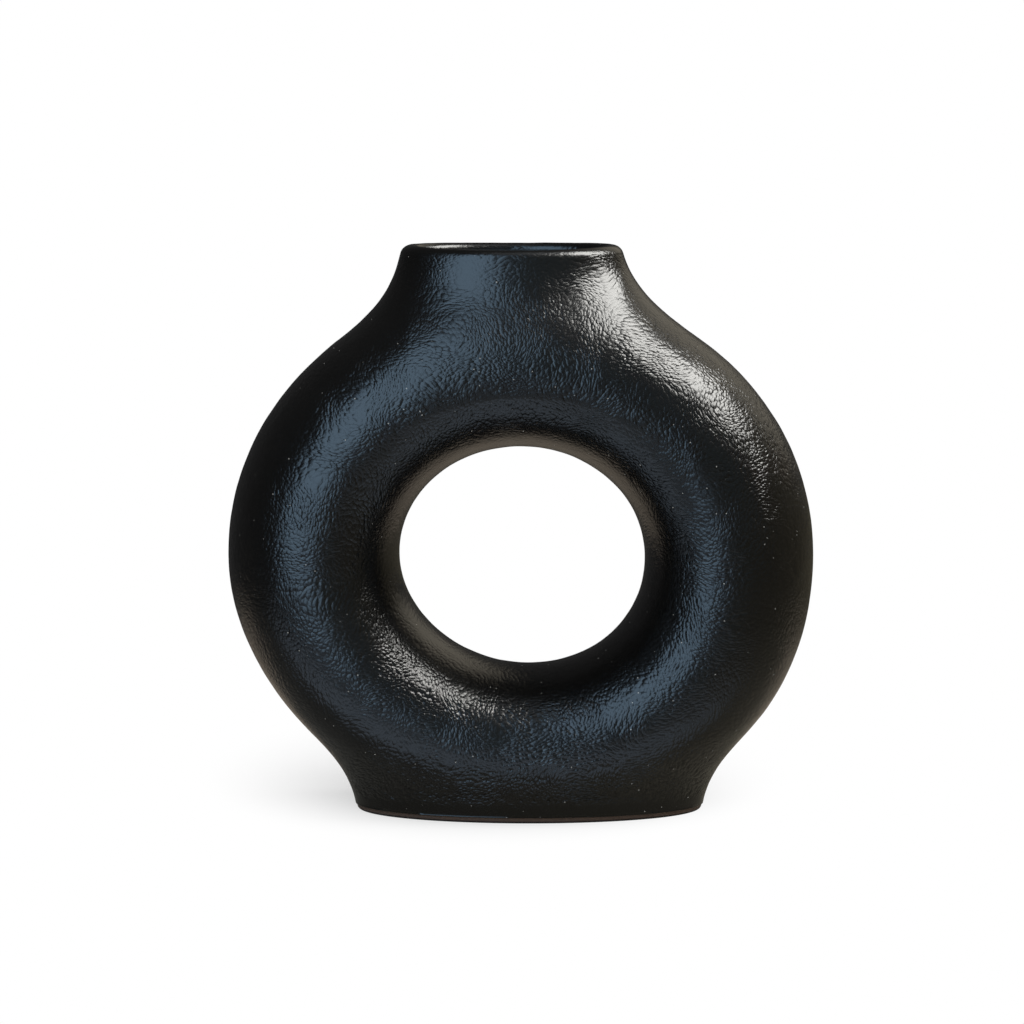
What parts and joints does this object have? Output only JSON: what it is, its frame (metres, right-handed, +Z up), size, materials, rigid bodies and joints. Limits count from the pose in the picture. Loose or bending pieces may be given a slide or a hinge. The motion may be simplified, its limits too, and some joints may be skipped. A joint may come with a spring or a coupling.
{
  "type": "ring vase",
  "caption": "Hollow ring-shaped stoneware vase with an oval mouth and an oval foot, in wrinkled black satin glaze; stands on its flat floor and holds stems or dried flowers.",
  "frame": {"origin": "on the table, under the middle of the vase's outer box", "axes": "+X across the ring to the right as seen from the front, +Y from front to back, +Z up"},
  "size_m": [0.2, 0.0746, 0.1942],
  "materials": {
    "glaze": "black satin glaze with fine wrinkles",
    "clay": "glazed side, bare brown stoneware at the lower edge and underneath",
    "slip": "fired clay slip under the glaze"
  },
  "bodies": {
    "root": {"front_shell": "glaze", "back_shell": "glaze", "neck_collar": "glaze", "floor_slab": "clay", "left_seam_slip": "slip", "right_seam_slip": "slip", "hole_seam_slip": "slip", "neck_seam_slip": "slip", "floor_seam_slip": "slip"}
  },
  "joints": []
}
